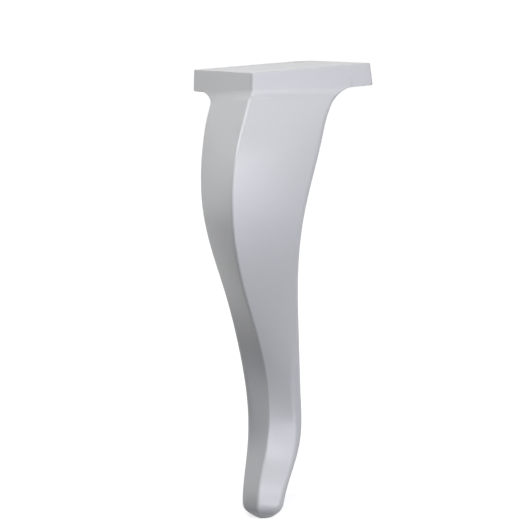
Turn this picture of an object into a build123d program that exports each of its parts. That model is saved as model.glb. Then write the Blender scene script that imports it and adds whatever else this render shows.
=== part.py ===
from build123d import *
import os
from math import atan2, cos, degrees, hypot, pi, radians, sqrt, tan

# A moulded sofa leg of cabriole shape: a square plate that screws under a sofa's corner, and a leg that
# leaves it at the plate's front corner, swells into a knee, thins to an ankle and ends in a rounded toe.
# The plate's top face is Z = 0, its centre is the origin, and its sides run along X and Y.
# The front corner points to -X -Y, and the leg is the same on both sides of the diagonal through it.
# Sizes are in millimetres and angles in degrees.

leg_height = 180.0

# Mounting plate
plate_side = 55.5  # at the top face
plate_thickness = 9.3
plate_draft = 5.0  # each side leans outwards, from the top face down
plate_back_radius = 8.5  # round of the corner behind the leg
plate_top_round = 0.4
plate_rim_round = 0.8  # underside, along the two back sides

# Screw hole in the corner behind the leg
screw_hole_diameter = 4.8
screw_hole_inset = 8.5  # from both back sides of the plate

# Neck, where the leg leaves the plate
neck_width = 41.0  # along each front side of the plate
neck_depth = 40.0  # along the diagonal
neck_round = 7.5  # hollow round between the plate's underside and the leg
neck_round_share = 0.8  # the most of the plate beside the leg that this round may take
neck_inset = 0.1  # of the leg's hidden top, behind the plate's front sides
neck_crowning = 0.01  # share of the faces' full crown that the neck starts with

# Section of the leg: a ridge in front, two crowned faces, two rounded side edges and a bowed back
ridge_radius = 1.0
side_radius = 4.5
side_round_share = 0.5  # the most of the half width that a side round may take
face_radius = 200.0
ridge_softening = 0.3  # of what the side rounds lose where the toe closes, added to the ridge's round

# Levels, as drops below the plate's top face
neck_drop = 6.0
collar_drop = 9.2
shoulder_drop = 12.0
brow_drop = 28.0
knee_drop = 54.0

# Levels between knee and ankle, as shares of the way down
calf_place = 0.43
shin_place = 0.7

# Levels, as heights above the foot
ankle_height = 43.0
instep_height = 22.0
toe_height = 7.0
tip_height = 5.0

# Ridge: reach past the plate's front corner, along the diagonal
collar_reach = 3.9
shoulder_reach = 8.0
brow_reach = 23.6
knee_reach = 33.4
calf_reach = 20.6
shin_reach = 7.6
ankle_reach = 1.7
instep_reach = 12.0
toe_reach = 23.7
tip_reach = 23.9
sole_reach = 19.8

# Side edges: reach of the centres of their rounds past the same corner
collar_side_advance = 1.5  # from the neck
shoulder_side_advance = 4.4  # from the neck
brow_side_reach = -8.4
knee_side_reach = 7.2
calf_side_reach = 3.4
shin_side_reach = -1.9
ankle_side_reach = -4.9
instep_side_reach = 1.6
toe_side_reach = 15.9
sole_side_reach = 16.9

# Back of the leg: reach past the same corner
shoulder_back_reach = -32.5
brow_back_reach = -18.0
knee_back_reach = -6.3
calf_back_reach = -8.7
ankle_back_reach = -15.0
instep_back_reach = -8.0
toe_back_reach = 7.7
tip_back_reach = 8.9
sole_back_reach = 13.4

# Width across the diagonal
collar_spread = 0.15  # more than the neck
shoulder_narrowing = 0.75  # less than the neck
brow_width = 50.6
knee_width = 43.0
calf_width = 30.7
shin_width = 26.2
ankle_width = 23.3
instep_width = 21.8
toe_width = 17.6
tip_width = 16.3
sole_width = 6.8

# Sections that the leg is lofted through
section_count = 30

corner = plate_side / 2
ankle_drop = leg_height - ankle_height
calf_drop = knee_drop + calf_place * (ankle_drop - knee_drop)
shin_drop = knee_drop + shin_place * (ankle_drop - knee_drop)
instep_drop = leg_height - instep_height
toe_drop = leg_height - toe_height
tip_drop = leg_height - tip_height

# The leg starts inside the plate, just behind its two front sides and in line with them
neck_lean = neck_drop * tan(radians(plate_draft)) - neck_inset
neck_reach = neck_lean * sqrt(2) - ridge_radius * (sqrt(2) - 1)
side_round_x = neck_width - side_radius
side_round_y = side_radius - neck_lean
neck_side_reach = -(side_round_x + side_round_y) / sqrt(2)
neck_across = 2 * side_radius + (side_round_x - side_round_y) * sqrt(2)

# Upright plane through the diagonal, with its origin at the plate's front corner and X reaching forwards
profile_plane = Plane(origin=(-corner, -corner, 0), x_dir=(-1, -1, 0), z_dir=(-1, 1, 0))

with BuildLine(profile_plane) as ridge_line:
    Spline(
        (neck_reach, -neck_drop),
        (collar_reach, -collar_drop),
        (shoulder_reach, -shoulder_drop),
        (brow_reach, -brow_drop),
        (knee_reach, -knee_drop),
        (calf_reach, -calf_drop),
        (shin_reach, -shin_drop),
        (ankle_reach, -ankle_drop),
        (instep_reach, -instep_drop),
        (toe_reach, -toe_drop),
        (tip_reach, -tip_drop),
        (sole_reach, -leg_height),
    )

with BuildLine(profile_plane) as side_line:
    Spline(
        (neck_side_reach, -neck_drop),
        (neck_side_reach + collar_side_advance, -collar_drop),
        (neck_side_reach + shoulder_side_advance, -shoulder_drop),
        (brow_side_reach, -brow_drop),
        (knee_side_reach, -knee_drop),
        (calf_side_reach, -calf_drop),
        (shin_side_reach, -shin_drop),
        (ankle_side_reach, -ankle_drop),
        (instep_side_reach, -instep_drop),
        (toe_side_reach, -toe_drop),
        (sole_side_reach, -leg_height),
    )

with BuildLine(profile_plane) as back_line:
    Spline(
        (-neck_depth, -neck_drop),
        (shoulder_back_reach, -shoulder_drop),
        (brow_back_reach, -brow_drop),
        (knee_back_reach, -knee_drop),
        (calf_back_reach, -calf_drop),
        (ankle_back_reach, -ankle_drop),
        (instep_back_reach, -instep_drop),
        (toe_back_reach, -toe_drop),
        (tip_back_reach, -tip_drop),
        (sole_back_reach, -leg_height),
    )

# Half the width of the leg, drawn as a line on the same plane
with BuildLine(profile_plane) as width_line:
    Spline(
        (neck_across / 2, -neck_drop),
        ((neck_across + collar_spread) / 2, -collar_drop),
        ((neck_across - shoulder_narrowing) / 2, -shoulder_drop),
        (brow_width / 2, -brow_drop),
        (knee_width / 2, -knee_drop),
        (calf_width / 2, -calf_drop),
        (shin_width / 2, -shin_drop),
        (ankle_width / 2, -ankle_drop),
        (instep_width / 2, -instep_drop),
        (toe_width / 2, -toe_drop),
        (tip_width / 2, -tip_drop),
        (sole_width / 2, -leg_height),
    )


def reach_at(line, drop):
    """How far a line lies past the plate's front corner at one drop below the plate's top face."""
    crossing = line.edge().intersect(Plane.XY.offset(-drop))[0]
    return profile_plane.to_local_coords(Vector(*crossing)).X


def direction(start, end):
    """Direction from one point to another, in degrees."""
    return degrees(atan2(end[1] - start[1], end[0] - start[0]))


def touching_centre(first, second, radius):
    """Centre of the circle that runs round two smaller ones (x, y, radius) and touches both from outside."""
    (first_x, first_y, first_radius), (second_x, second_y, second_radius) = first, second
    gap = hypot(second_x - first_x, second_y - first_y)
    from_first = radius - first_radius
    from_second = radius - second_radius
    along = (gap**2 + from_first**2 - from_second**2) / (2 * gap)
    across = sqrt(from_first**2 - along**2)
    unit_x, unit_y = (second_x - first_x) / gap, (second_y - first_y) / gap
    return first_x + unit_x * along - unit_y * across, first_y + unit_y * along + unit_x * across


def leg_section(drop):
    """The leg's section at one drop: three round corners, joined by arcs that touch them."""
    half_width = reach_at(width_line, drop)
    side_x = reach_at(side_line, drop)
    back_x = reach_at(back_line, drop)

    # The side rounds shrink where the toe closes, and the ridge grows softer there
    side_round = min(side_radius, side_round_share * half_width)
    ridge_round = ridge_radius + ridge_softening * (side_radius - side_round)
    side_y = half_width - side_round
    ridge = (reach_at(ridge_line, drop) - ridge_round, 0, ridge_round)
    right_side = (side_x, side_y, side_round)
    left_side = (side_x, -side_y, side_round)

    # The faces leave the plate nearly flat and are fully crowned from the brow down
    crowning = max(neck_crowning, min(1, (drop - neck_drop) / (brow_drop - neck_drop)))
    crown_radius = face_radius / crowning

    # The back is an arc about a point on the diagonal
    tail = side_x - back_x
    back_radius = (tail**2 + side_y**2 - side_round**2) / (2 * (tail - side_round))

    # Each arc: the corner it starts from, the corner it ends at, its radius and its centre
    joins = [
        (ridge, right_side, crown_radius, touching_centre(ridge, right_side, crown_radius)),
        (right_side, left_side, back_radius, (back_x + back_radius, 0)),
        (left_side, ridge, crown_radius, touching_centre(left_side, ridge, crown_radius)),
    ]
    starts = [direction(centre, first) for first, _, _, centre in joins]
    ends = [direction(centre, second) for _, second, _, centre in joins]
    section_plane = Plane(origin=(-corner, -corner, -drop), x_dir=(-1, -1, 0), z_dir=(0, 0, 1))
    with BuildSketch(section_plane) as section:
        with BuildLine():
            for index, (_, round_corner, radius, centre) in enumerate(joins):
                next_start = starts[(index + 1) % len(joins)]
                CenterArc(centre, radius, starts[index], (ends[index] - starts[index]) % 360)
                CenterArc(round_corner[:2], round_corner[2], ends[index], (next_start - ends[index]) % 360)
        make_face()
    return section.sketch


# Sections stand closer together at the neck and the toe, where the form turns quickly
section_drops = [
    neck_drop + (leg_height - neck_drop) * (1 - cos(pi * index / (section_count - 1))) / 2
    for index in range(section_count)
]

with BuildPart() as leg:
    with BuildSketch():
        Rectangle(plate_side, plate_side)
        fillet(vertices().sort_by_distance((corner, corner, 0))[0], plate_back_radius)
        fillet(vertices().sort_by_distance((-corner, -corner, 0))[0], ridge_radius)
    extrude(amount=-plate_thickness, taper=-plate_draft)
    fillet(faces().sort_by(Axis.Z)[-1].edges(), plate_top_round)

    loft(sections=[leg_section(drop) for drop in section_drops])

    # Hollow round under the plate: its edges are the ones where the lofted neck meets the underside
    underside = faces().filter_by(Plane.XY).sort_by(Axis.Z).filter_by(lambda face: face.area > plate_side)[0]
    neck_edges = underside.edges().filter_by(GeomType.BSPLINE)
    fillet(neck_edges, min(neck_round, neck_round_share * (plate_side - neck_width)))

    # Rim of the underside: its three furthest edges along the diagonal, two back sides and their corner
    underside = faces().filter_by(Plane.XY).sort_by(Axis.Z).filter_by(lambda face: face.area > plate_side)[0]
    back_rim = underside.edges().sort_by(Axis((0, 0, 0), (1, 1, 0)))[-3:]
    fillet(back_rim, plate_rim_round)

    with Locations((corner - screw_hole_inset, corner - screw_hole_inset, 0)):
        Hole(screw_hole_diameter / 2, plate_thickness)

os.makedirs("parts", exist_ok=True)
leg.part.label = "leg"
export_step(leg.part, "parts/leg.step")
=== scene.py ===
from math import cos, pi, radians, sin, sqrt, tan

import bpy
import numpy as np
from mathutils import Matrix, Vector


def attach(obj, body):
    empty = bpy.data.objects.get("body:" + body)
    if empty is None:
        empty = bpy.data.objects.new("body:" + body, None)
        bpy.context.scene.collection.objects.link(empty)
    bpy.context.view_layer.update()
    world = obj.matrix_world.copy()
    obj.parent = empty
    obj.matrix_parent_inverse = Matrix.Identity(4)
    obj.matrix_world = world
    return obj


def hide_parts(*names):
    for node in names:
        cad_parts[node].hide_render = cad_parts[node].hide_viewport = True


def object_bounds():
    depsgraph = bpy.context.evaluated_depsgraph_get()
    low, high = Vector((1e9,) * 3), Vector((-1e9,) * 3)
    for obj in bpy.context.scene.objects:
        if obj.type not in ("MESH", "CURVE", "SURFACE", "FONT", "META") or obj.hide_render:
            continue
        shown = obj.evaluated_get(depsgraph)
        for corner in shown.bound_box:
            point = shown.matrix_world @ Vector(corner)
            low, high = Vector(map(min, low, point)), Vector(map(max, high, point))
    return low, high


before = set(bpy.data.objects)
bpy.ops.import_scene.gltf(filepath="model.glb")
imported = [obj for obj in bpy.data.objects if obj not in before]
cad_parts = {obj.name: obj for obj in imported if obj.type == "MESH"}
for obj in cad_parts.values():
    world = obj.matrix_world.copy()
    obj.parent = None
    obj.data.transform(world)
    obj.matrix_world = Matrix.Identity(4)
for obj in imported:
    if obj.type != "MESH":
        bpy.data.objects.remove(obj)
cad_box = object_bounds()

# Leg and its mounting plate
# One plastic moulding: the screw plate, the knee, the ankle and the toe come out of the mould together.
# The leg runs into the plate's two front sides, swells out over a small step, and has a hollow round
# under the plate. Sizes here are in millimetres, with each level as a drop below the plate's top face.
millimetre = 0.001

# Plate: its corners go round from the front one, by the -Y side, and its sides lean outwards as they go down
plate_side = 55.5
plate_thickness = 9.3
plate_draft = radians(5)
plate_corner_rounds = (1.0, 0.6, 8.5, 0.6)
plate_top_round = 0.4
plate_back_rim = 0.6
plate_front_rim = 0.05
screw_hole_radius = 2.4
screw_hole_inset = 8.5

# Hollow round between the plate's underside and the leg: tighter beside the faces than behind
hollow_round_at_faces = 4.2
hollow_round_behind = 7.5

# Section of the leg: a ridge in front, two faces, two side edges and a bowed back
ridge_radius = 1.0
ridge_softening = 0.3
toe_ridge_softening = 0.9
toe_softening_starts = 165
toe_softening_ends = 175
side_radius = 4.5
side_round_share = 0.5
face_radius = 200
neck_face_radius = 20000
neck_ends = 6
brow = 28

# Step under the plate: its sides lie this much lower than its ridge
step_slant = 2.6
step_slant_fades_from = 10
step_slant_ends = 24

# Lines down the leg, each as pairs of a level and a value. The ridge, the middles of the side edges' rounds
# and the back are reaches past the plate's front corner, along the diagonal. The last line is the width.
ridge_line = (
    (3, -0.24), (5, 0.09), (7, 0.42), (8.4, 1.15), (9, 1.8), (9.4, 2.6), (9.9, 4.3), (10.3, 5.0),
    (10.9, 5.7), (12.5, 7.4), (16, 11.1), (20, 15.6), (28, 23.2), (54, 33.3), (89.7, 21.4), (112.1, 7.9),
    (137, 1.7), (158, 12), (168, 21.7), (172, 23.8), (174, 24.1), (175.4, 23.8), (177, 22.5), (180, 19.4),
)
side_line = (
    (3, -28.9), (6, -28.66), (9.2, -28.35), (12, -26.3), (15, -21.8), (28, -8.4), (54, 7.2),
    (89.7, 3.4), (112.1, -1.9), (137, -4.9), (158, 1.6), (173, 16.3), (176, 17.2), (180, 16.6),
)
back_line = (
    (3, -42), (12, -32.5), (28, -18), (54, -6.3), (89.7, -8.7),
    (137, -15), (158, -8), (173, 7.7), (175, 8.9), (180, 12.8),
)
width_line = (
    (3, 54.42), (6, 54.89), (9.2, 55.2), (12, 54.1), (28, 50.6), (54, 43), (89.7, 30.7), (112.1, 26.2),
    (137, 23.3), (158, 21.8), (173, 17.5), (175, 16.9), (176.7, 15.3), (178, 12.7), (180, 7.2),
)

# Rows of points down the leg, closer together by the plate and at the toe
leg_top = 3
near_plate = 20
near_toe = 165
leg_height = 180
row_step_by_plate = 0.125
row_step = 1.0
row_step_at_toe = 0.25

# Points round a row of the leg, and round the plate
points_across_face = 40
points_across_back = 60
points_on_side_edge = 20
points_on_ridge = 12
points_on_plate_corner = 13
points_on_plate_side = 24
plate_side_points_start = 0.04
points_over_rim = 7
edge_band = 0.15


def smooth_line(line, at):
    """The natural cubic spline through a line's pairs of level and value, read at many levels at once."""
    levels, values = np.array(line, float).T
    gaps = np.diff(levels)
    inner = np.arange(1, len(levels) - 1)
    balance = np.eye(len(levels))
    balance[inner, inner - 1] = gaps[:-1]
    balance[inner, inner] = 2 * (gaps[:-1] + gaps[1:])
    balance[inner, inner + 1] = gaps[1:]
    change = np.zeros(len(levels))
    change[1:-1] = 6 * np.diff(np.diff(values) / gaps)
    bend = np.linalg.solve(balance, change)
    span = np.clip(np.searchsorted(levels, at) - 1, 0, len(gaps) - 1)
    gap, before, after = gaps[span], at - levels[span], levels[span + 1] - at
    return (
        (bend[span] * after**3 + bend[span + 1] * before**3) / (6 * gap)
        + (values[span] / gap - bend[span] * gap / 6) * after
        + (values[span + 1] / gap - bend[span + 1] * gap / 6) * before
    )


def touching_centres(first, second, radius):
    """Centres of the circles that run round two smaller ones (x, y, radius) and touch both from outside."""
    apart_x, apart_y = second[0] - first[0], second[1] - first[1]
    apart = np.hypot(apart_x, apart_y)
    from_first, from_second = radius - first[2], radius - second[2]
    along = (apart**2 + from_first**2 - from_second**2) / (2 * apart)
    across = np.sqrt(from_first**2 - along**2)
    unit_x, unit_y = apart_x / apart, apart_y / apart
    return first[0] + unit_x * along - unit_y * across, first[1] + unit_y * along + unit_x * across


def direction(centre, corner):
    """Direction from one centre to another on each row, in radians."""
    return np.arctan2(corner[1] - centre[1], corner[0] - centre[0])


def leg_surface():
    """Grid of points, rows down the leg by columns round it. A row is three round corners, the ridge and two
    side edges, joined by arcs that touch them. Near the plate each row slants down from the ridge to the
    sides, and its side edges and back move out along a quarter circle to make the hollow round."""
    rows = np.concatenate(
        [
            np.arange(leg_top, near_plate, row_step_by_plate),
            np.arange(near_plate, near_toe, row_step),
            np.arange(near_toe, leg_height + row_step_at_toe, row_step_at_toe),
        ]
    )
    fade = np.clip((step_slant_ends - rows) / (step_slant_ends - step_slant_fades_from), 0, 1)
    slant = step_slant * fade * fade * (3 - 2 * fade)
    levels = np.minimum(rows + slant, leg_height)
    half_width = smooth_line(width_line, levels) / 2
    side_x = smooth_line(side_line, levels)
    back_x = smooth_line(back_line, levels)
    side_round = np.minimum(side_radius, side_round_share * half_width)
    at_toe = np.clip((rows - toe_softening_starts) / (toe_softening_ends - toe_softening_starts), 0, 1)
    ridge_round = ridge_radius + ridge_softening * (side_radius - side_round) + toe_ridge_softening * at_toe
    side_y = half_width - side_round
    middle = np.zeros_like(rows)
    ridge = (smooth_line(ridge_line, rows) - ridge_round, middle, ridge_round)
    right, left = (side_x, side_y, side_round), (side_x, -side_y, side_round)
    crown = face_radius / np.clip((rows - neck_ends) / (brow - neck_ends), face_radius / neck_face_radius, 1)
    tail = side_x - back_x
    back_radius = (tail**2 + side_y**2 - side_round**2) / (2 * (tail - side_round))

    def hollow(share_behind):
        """How far each row stands out on its quarter circle, where the share is 0 at the faces and 1 behind."""
        round_here = hollow_round_at_faces + (hollow_round_behind - hollow_round_at_faces) * share_behind
        left_of_round = np.maximum(round_here - np.maximum(levels[:, None] - plate_thickness, 0), 0)
        return round_here - np.sqrt(round_here**2 - left_of_round**2)

    # Each arc: the corner it starts from, the corner it ends at, its radius, its centre, and the points on it
    # and on the corner after it
    arcs = (
        (ridge, right, crown, touching_centres(ridge, right, crown), points_across_face, points_on_side_edge),
        (right, left, back_radius, (back_x + back_radius, middle), points_across_back, points_on_side_edge),
        (left, ridge, crown, touching_centres(left, ridge, crown), points_across_face, points_on_ridge),
    )
    starts = [direction(centre, first) for first, _, _, centre, _, _ in arcs]
    ends = [direction(centre, second) for _, second, _, centre, _, _ in arcs]
    across, along, share = [], [], []
    for number, (_, corner, radius, centre, arc_points, corner_points) in enumerate(arcs):
        on_back, on_ridge = number == 1, number == 2
        sweep = (ends[number] - starts[number]) % (2 * pi)
        part = np.linspace(0, 1, arc_points, endpoint=False)
        angle = starts[number][:, None] + sweep[:, None] * part
        reach = radius[:, None] + (hollow(np.ones(arc_points)) if on_back else 0)
        across.append(centre[0][:, None] + reach * np.cos(angle))
        along.append(centre[1][:, None] + reach * np.sin(angle))
        share.append([part, np.ones(arc_points), 1 - part][number])

        turn = (starts[(number + 1) % 3] - ends[number]) % (2 * pi)
        part = np.linspace(0, 1, corner_points, endpoint=False)
        angle = ends[number][:, None] + turn[:, None] * part
        out = corner[2][:, None] + (0 if on_ridge else hollow([part, 1 - part][number]))
        x, y = out * np.cos(angle), out * np.sin(angle)
        if not on_ridge:
            # The hollow round doesn't stand out past the face beside its side edge
            face = ends[0] if number == 0 else starts[2]
            face_x, face_y = np.cos(face)[:, None], np.sin(face)[:, None]
            past = np.maximum(x * face_x + y * face_y - corner[2][:, None], 0)
            x, y = x - past * face_x, y - past * face_y
        across.append(corner[0][:, None] + x)
        along.append(corner[1][:, None] + y)
        share.append(np.full(corner_points, 0.0 if on_ridge else 1.0))
    reach, side, share = np.hstack(across), np.hstack(along), np.concatenate(share)
    level = np.minimum(rows[:, None] + slant[:, None] * share, leg_height)
    front = -plate_side / 2
    return np.stack([front - (reach - side) / sqrt(2), front - (reach + side) / sqrt(2), -level], axis=-1)


def plate_surface():
    """Grid of points, rows from the hole's lower end over the top, down the sides and back to the hole, by
    columns round the plate. A column stands out square from the plate's edge, and the hole's wall faces it."""
    half = plate_side / 2
    edge_x, edge_y, out_x, out_y, rim = [], [], [], [], []
    corners = ((-1, -1), (1, -1), (1, 1), (-1, 1))
    for number, ((sign_x, sign_y), radius) in enumerate(zip(corners, plate_corner_rounds)):
        angle = radians(180 + 90 * number) + np.linspace(0, pi / 2, points_on_plate_corner)
        edge_x.append(sign_x * (half - radius) + radius * np.cos(angle))
        edge_y.append(sign_y * (half - radius) + radius * np.sin(angle))
        out_x.append(np.cos(angle))
        out_y.append(np.sin(angle))
        between = np.linspace(plate_side_points_start, 1 - plate_side_points_start, points_on_plate_side)
        next_x, next_y = corners[(number + 1) % 4]
        next_radius = plate_corner_rounds[(number + 1) % 4]
        end = radians(270 + 90 * number)
        first = np.array([edge_x[-1][-1], edge_y[-1][-1]])
        second = np.array([next_x * (half - next_radius), next_y * (half - next_radius)])
        second = second + next_radius * np.array([cos(end), sin(end)])
        edge_x.append(first[0] + (second[0] - first[0]) * between)
        edge_y.append(first[1] + (second[1] - first[1]) * between)
        out_x.append(np.full(points_on_plate_side, cos(end)))
        out_y.append(np.full(points_on_plate_side, sin(end)))
        front_corner, front_side = number == 0, number in (0, 3)
        rim.append(np.full(points_on_plate_corner, plate_front_rim if front_corner else plate_back_rim))
        rim.append(np.full(points_on_plate_side, plate_front_rim if front_side else plate_back_rim))
    edge_x, edge_y, out_x, out_y, rim = map(np.concatenate, (edge_x, edge_y, out_x, out_y, rim))

    hole = half - screw_hole_inset
    to_x, to_y = edge_x - hole, edge_y - hole
    away = np.hypot(to_x, to_y)
    to_x, to_y = to_x / away, to_y / away

    def ring_of_hole(radius, level):
        """Circle round the hole, with each point towards its column's place on the plate's edge."""
        return np.stack([hole + radius * to_x, hole + radius * to_y, np.full_like(away, level)], axis=-1)

    def ring_of_edge(out, level):
        """Line round the plate, that far outside its top face's edge."""
        return np.stack([edge_x + out * out_x, edge_y + out * out_y, level + np.zeros_like(away)], axis=-1)

    # A narrow band of faces lies beside each round and edge, so that smooth shading keeps the flats flat
    quarter = np.linspace(0, pi / 2, points_over_rim)
    underside = -plate_thickness
    lean = (plate_thickness - rim - plate_top_round) * tan(plate_draft)
    rings = [
        ring_of_hole(screw_hole_radius, underside + edge_band),
        ring_of_hole(screw_hole_radius, -edge_band),
        ring_of_hole(screw_hole_radius, 0),
        ring_of_hole(screw_hole_radius + edge_band, 0),
        ring_of_edge(-plate_top_round - edge_band, 0),
        *(ring_of_edge(plate_top_round * (sin(a) - 1), plate_top_round * (cos(a) - 1)) for a in quarter),
        ring_of_edge(edge_band * tan(plate_draft), -plate_top_round - edge_band),
        ring_of_edge(lean - edge_band * tan(plate_draft), underside + rim + edge_band),
        *(ring_of_edge(lean - rim * (1 - cos(a)), underside + rim * (1 - sin(a))) for a in quarter),
        ring_of_edge(lean - rim - edge_band, underside),
        ring_of_hole(screw_hole_radius + edge_band, underside),
        ring_of_hole(screw_hole_radius, underside),
    ]
    return np.stack(rings)


def grid_faces(rows, columns, first, closed):
    """Four-sided faces between neighbouring rows and columns, counted from the first point of the grid."""
    row = np.arange(rows if closed else rows - 1)[:, None]
    column = np.arange(columns)[None, :]
    here, below = row * columns, (row + 1) % rows * columns
    beside = (column + 1) % columns
    corners = [here + column, below + column, below + beside, here + beside]
    return (first + np.stack(corners, axis=-1)).reshape(-1, 4)


leg_points, plate_points = leg_surface(), plate_surface()
leg_rows, leg_columns = leg_points.shape[:2]
plate_rows, plate_columns = plate_points.shape[:2]
plate_first = leg_rows * leg_columns
leg_faces = grid_faces(leg_rows, leg_columns, 0, False)
plate_faces = grid_faces(plate_rows, plate_columns, plate_first, True)
top_end = list(range(leg_columns))
sole_end = list(range(plate_first - leg_columns, plate_first))[::-1]
points = np.vstack([leg_points.reshape(-1, 3), plate_points.reshape(-1, 3)]) * millimetre
moulding_mesh = bpy.data.meshes.new("moulded_leg")
moulding_mesh.from_pydata(points.tolist(), [], leg_faces.tolist() + plate_faces.tolist() + [top_end, sole_end])
moulding_mesh.shade_smooth()
moulding = bpy.data.objects.new("moulded_leg", moulding_mesh)
bpy.context.scene.collection.objects.link(moulding)

# Silver lacquer, sprayed over the whole moulding. It dries satin: fine flake in it gives a faint grain, and
# the film keeps a very slight orange peel. Sizes from here on are in metres.
flake_size = 0.0004
flake_detail = 2
spray_patch_size = 0.03
spray_patch_detail = 3
peel_size = 0.0016
peel_detail = 1
peel_height = 0.00002
peel_strength = 0.3
lacquer_shade = (0.573, 0.576, 0.588, 1)
lacquer_light = (0.623, 0.626, 0.638, 1)
lacquer_metal = 0.05
smoothest = 0.31
roughest = 0.36


def fine_pattern(tree, grain, detail):
    """Cloudy values from 0 to 1 that vary over a length of grain metres, fixed to the piece itself."""
    place = tree.nodes.new("ShaderNodeTexCoord")
    pattern = tree.nodes.new("ShaderNodeTexNoise")
    pattern.inputs["Scale"].default_value = 1 / grain
    pattern.inputs["Detail"].default_value = detail
    tree.links.new(place.outputs["Object"], pattern.inputs["Vector"])
    return pattern.outputs["Fac"]


def blend_colours(tree, share, first, second):
    """The first colour where share is 0 and the second where it is 1."""
    mix = tree.nodes.new("ShaderNodeMix")
    mix.data_type = "RGBA"
    mix.inputs["A"].default_value = first
    mix.inputs["B"].default_value = second
    tree.links.new(share, mix.inputs["Factor"])
    return mix.outputs["Result"]


def spread(tree, share, lowest, highest):
    """Takes a value from 0 to 1 to the range between lowest and highest."""
    stretch = tree.nodes.new("ShaderNodeMapRange")
    stretch.inputs["To Min"].default_value = lowest
    stretch.inputs["To Max"].default_value = highest
    tree.links.new(share, stretch.inputs["Value"])
    return stretch.outputs["Result"]


def silver_lacquer():
    """Satin silver film: flake varies its colour, spray patches its gloss, and orange peel its surface."""
    lacquer = bpy.data.materials.new("silver_lacquer")
    lacquer.use_nodes = True
    tree = lacquer.node_tree
    film = tree.nodes["Principled BSDF"]
    flake = fine_pattern(tree, flake_size, flake_detail)
    tree.links.new(blend_colours(tree, flake, lacquer_shade, lacquer_light), film.inputs["Base Color"])
    film.inputs["Metallic"].default_value = lacquer_metal
    patches = fine_pattern(tree, spray_patch_size, spray_patch_detail)
    tree.links.new(spread(tree, patches, smoothest, roughest), film.inputs["Roughness"])
    peel = tree.nodes.new("ShaderNodeBump")
    peel.inputs["Strength"].default_value = peel_strength
    peel.inputs["Distance"].default_value = peel_height
    tree.links.new(fine_pattern(tree, peel_size, peel_detail), peel.inputs["Height"])
    tree.links.new(peel.outputs["Normal"], film.inputs["Normal"])
    return lacquer


moulding.data.materials.append(silver_lacquer())
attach(moulding, "root")
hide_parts("leg")

# Floor
# A wide sheet of matt white card that the toe stands on. It runs on behind the leg as the backdrop. It throws
# less
# light up onto the leg than it shows: for that light it is dark grey, a painted shade that darkens the leg's
# downward faces. Where the camera sees it, it also glows, a painted light that whitens it, weaker round the
# toe.
card_height = cad_box[0][2]
card_half = 6.0
card_white = (0.93, 0.93, 0.93, 1)
card_shadow_white = (0.90, 0.90, 0.90, 1)
# Painted shade: the card's colour for the light it throws up, dark grey, darkening the leg's downward faces
painted_dark_bounce = (0.12, 0.12, 0.12, 1)
card_roughness = 0.9
card_shine = 0.1
# Painted glow: the card gives off light where the camera sees it, weaker round the toe so the cast shadow shows
# there and fades further off
card_glow_colour = (1, 1, 1, 1)
card_glow_near = 0.68
card_glow_far = 1.0
glow_starts = 0.05
glow_is_full = 0.35
toe_point = (-0.04, -0.04, card_height)
fibre_size = 0.0008
fibre_detail = 2

card_mesh = bpy.data.meshes.new("card")
card_corners = [(x * card_half, y * card_half, card_height) for x, y in ((-1, -1), (1, -1), (1, 1), (-1, 1))]
card_mesh.from_pydata(card_corners, [], [(0, 1, 2, 3)])
card = bpy.data.objects.new("card", card_mesh)
bpy.context.scene.collection.objects.link(card)


def seen_share(tree):
    """1 for what the camera sees, also in a reflection or through something clear, and 0 for other light."""
    path = tree.nodes.new("ShaderNodeLightPath")
    seen = path.outputs["Is Camera Ray"]
    for way in ("Is Glossy Ray", "Is Transmission Ray"):
        either = tree.nodes.new("ShaderNodeMath")
        either.operation = "MAXIMUM"
        tree.links.new(seen, either.inputs[0])
        tree.links.new(path.outputs[way], either.inputs[1])
        seen = either.outputs["Value"]
    return seen


def painted_glow_with_distance(tree):
    """Strength of the card's painted glow: the near value round the toe, and evenly more with the distance from
    it, up to the far value.
    """
    place = tree.nodes.new("ShaderNodeTexCoord")
    apart = tree.nodes.new("ShaderNodeVectorMath")
    apart.operation = "DISTANCE"
    apart.inputs[1].default_value = toe_point
    tree.links.new(place.outputs["Object"], apart.inputs[0])
    rise = tree.nodes.new("ShaderNodeMapRange")
    rise.inputs["From Min"].default_value = glow_starts
    rise.inputs["From Max"].default_value = glow_is_full
    rise.inputs["To Min"].default_value = card_glow_near
    rise.inputs["To Max"].default_value = card_glow_far
    tree.links.new(apart.outputs["Value"], rise.inputs["Value"])
    return rise.outputs["Result"]


def white_card():
    """Matt white card with a fine fibre. Where seen, it glows with painted light, less round the toe; the light
    it throws is a painted dark grey.
    """
    paper = bpy.data.materials.new("white_card")
    paper.use_nodes = True
    tree = paper.node_tree
    sheet = tree.nodes["Principled BSDF"]
    sheet.inputs["Roughness"].default_value = card_roughness
    sheet.inputs["Specular IOR Level"].default_value = card_shine
    sheet.inputs["Emission Color"].default_value = card_glow_colour
    seen = seen_share(tree)
    fibre = blend_colours(tree, fine_pattern(tree, fibre_size, fibre_detail), card_shadow_white, card_white)
    # Painted shade: the card is dark grey for the light it throws, and white only where it is seen
    tone = tree.nodes.new("ShaderNodeMix")
    tone.data_type = "RGBA"
    tone.inputs["A"].default_value = painted_dark_bounce
    tree.links.new(seen, tone.inputs["Factor"])
    tree.links.new(fibre, tone.inputs["B"])
    tree.links.new(tone.outputs["Result"], sheet.inputs["Base Color"])
    # Painted light: the card glows where it is seen, more the further it is from the toe
    glow = tree.nodes.new("ShaderNodeMath")
    glow.operation = "MULTIPLY"
    tree.links.new(seen, glow.inputs[0])
    tree.links.new(painted_glow_with_distance(tree), glow.inputs[1])
    tree.links.new(glow.outputs["Value"], sheet.inputs["Emission Strength"])
    return paper


card.data.materials.append(white_card())

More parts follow.
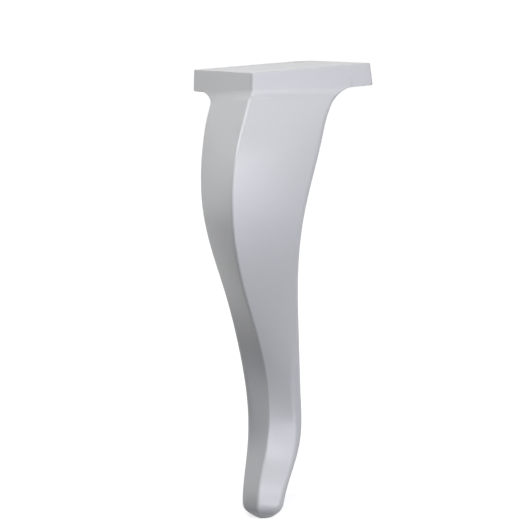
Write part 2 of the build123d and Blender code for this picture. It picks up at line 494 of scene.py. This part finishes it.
# Softboxes
# Square lamps with cloth fronts on stands round the leg, a large one in front and smaller ones close to the
# plate and the toe. Each faces the point that it lights. Seen from that point, it stands so far round from
# straight in front of the plate's -Y side, towards +X, so far above the level, and so far away.
middle_of_leg = Vector((-0.03, -0.03, -0.09))
plate_front = Vector((-0.028, -0.028, -0.01))
toe_end = Vector((-0.045, -0.045, -0.15))


def softbox(name, lit_point, around, above, distance, side, watts, colour):
    """A square lamp of that side, distance metres from the lit point and turned to face it."""
    around, above = radians(around), radians(above)
    outwards = Vector((sin(around) * cos(above), -cos(around) * cos(above), sin(above)))
    lamp = bpy.data.lights.new(name, "AREA")
    lamp.shape = "SQUARE"
    lamp.size = side
    lamp.energy = watts
    lamp.color = colour
    stand = bpy.data.objects.new(name, lamp)
    stand.location = lit_point + outwards * distance
    stand.rotation_euler = (-outwards).to_track_quat("-Z", "Y").to_euler()
    bpy.context.scene.collection.objects.link(stand)


softbox(
    "front_softbox", middle_of_leg,
    around=10, above=20, distance=1.2, side=1.2, watts=9.9, colour=(0.92, 0.925, 1.0),
)
softbox(
    "key_lamp", middle_of_leg,
    around=11, above=40, distance=0.45, side=0.1, watts=0.2, colour=(0.95, 0.95, 1.0),
)
softbox(
    "left_softbox", plate_front,
    around=-100, above=55, distance=0.3, side=0.2, watts=0.42, colour=(0.98, 0.98, 1.0),
)
softbox(
    "far_left_softbox", middle_of_leg,
    around=-150, above=8, distance=1.1, side=0.7, watts=1.12, colour=(0.98, 1.0, 0.98),
)
softbox(
    "top_lamp", plate_front,
    around=-45, above=80, distance=0.3, side=0.2, watts=0.22, colour=(1.0, 1.0, 0.93),
)
softbox(
    "corner_lamp", plate_front,
    around=-25, above=25, distance=0.22, side=0.1, watts=0.065, colour=(0.95, 0.98, 1.0),
)
softbox(
    "toe_lamp", toe_end,
    around=10, above=0, distance=0.22, side=0.1, watts=0.062, colour=(0.85, 0.9, 1.0),
)

# Surroundings
# A white room, seen behind the leg and in its satin film. It gives no other light: the softboxes do that.
room_white = (1, 1, 1, 1)

room = bpy.data.worlds.new("white_room")
room.use_nodes = True
bpy.context.scene.world = room
walls = room.node_tree.nodes["Background"]
walls.inputs["Color"].default_value = room_white
room.node_tree.links.new(seen_share(room.node_tree), walls.inputs["Strength"])

# Camera
# It looks at the plate's front corner from a little above, and is tipped slightly to one side. The corner's
# place in the picture, from its top left, and the focal length are in pixels.
picture_width = 531
picture_height = 530
sensor_width = 36
focal_pixels = 1502.4
corner_column = 251.65
corner_row = 72.94
corner_distance = 0.6
turn_angle = radians(26.84)
look_down_angle = radians(10.58)
tip_angle = radians(-3.23)
plate_corner = Vector((-0.02775, -0.02775, 0))

backwards = Vector(
    (-sin(turn_angle) * cos(look_down_angle), -cos(turn_angle) * cos(look_down_angle), sin(look_down_angle))
)
level_right = Vector((cos(turn_angle), -sin(turn_angle), 0))
level_up = backwards.cross(level_right)
right = cos(tip_angle) * level_right + sin(tip_angle) * level_up
up = cos(tip_angle) * level_up - sin(tip_angle) * level_right
turn = Matrix((right, up, backwards)).transposed()
corner_in_view = Vector(
    (
        (corner_column - picture_width / 2) / focal_pixels,
        (picture_height / 2 - corner_row) / focal_pixels,
        -1,
    )
)
lens = bpy.data.cameras.new("camera")
lens.sensor_fit = "HORIZONTAL"
lens.sensor_width = sensor_width
lens.lens = sensor_width * focal_pixels / picture_width
camera = bpy.data.objects.new("camera", lens)
camera.matrix_world = Matrix.Translation(plate_corner - turn @ corner_in_view * corner_distance) @ turn.to_4x4()
bpy.context.scene.collection.objects.link(camera)
bpy.context.scene.camera = camera

# Finished picture
# Colours come out as written, and the part's box before dressing is kept.
bpy.context.scene.view_settings.view_transform = "Standard"
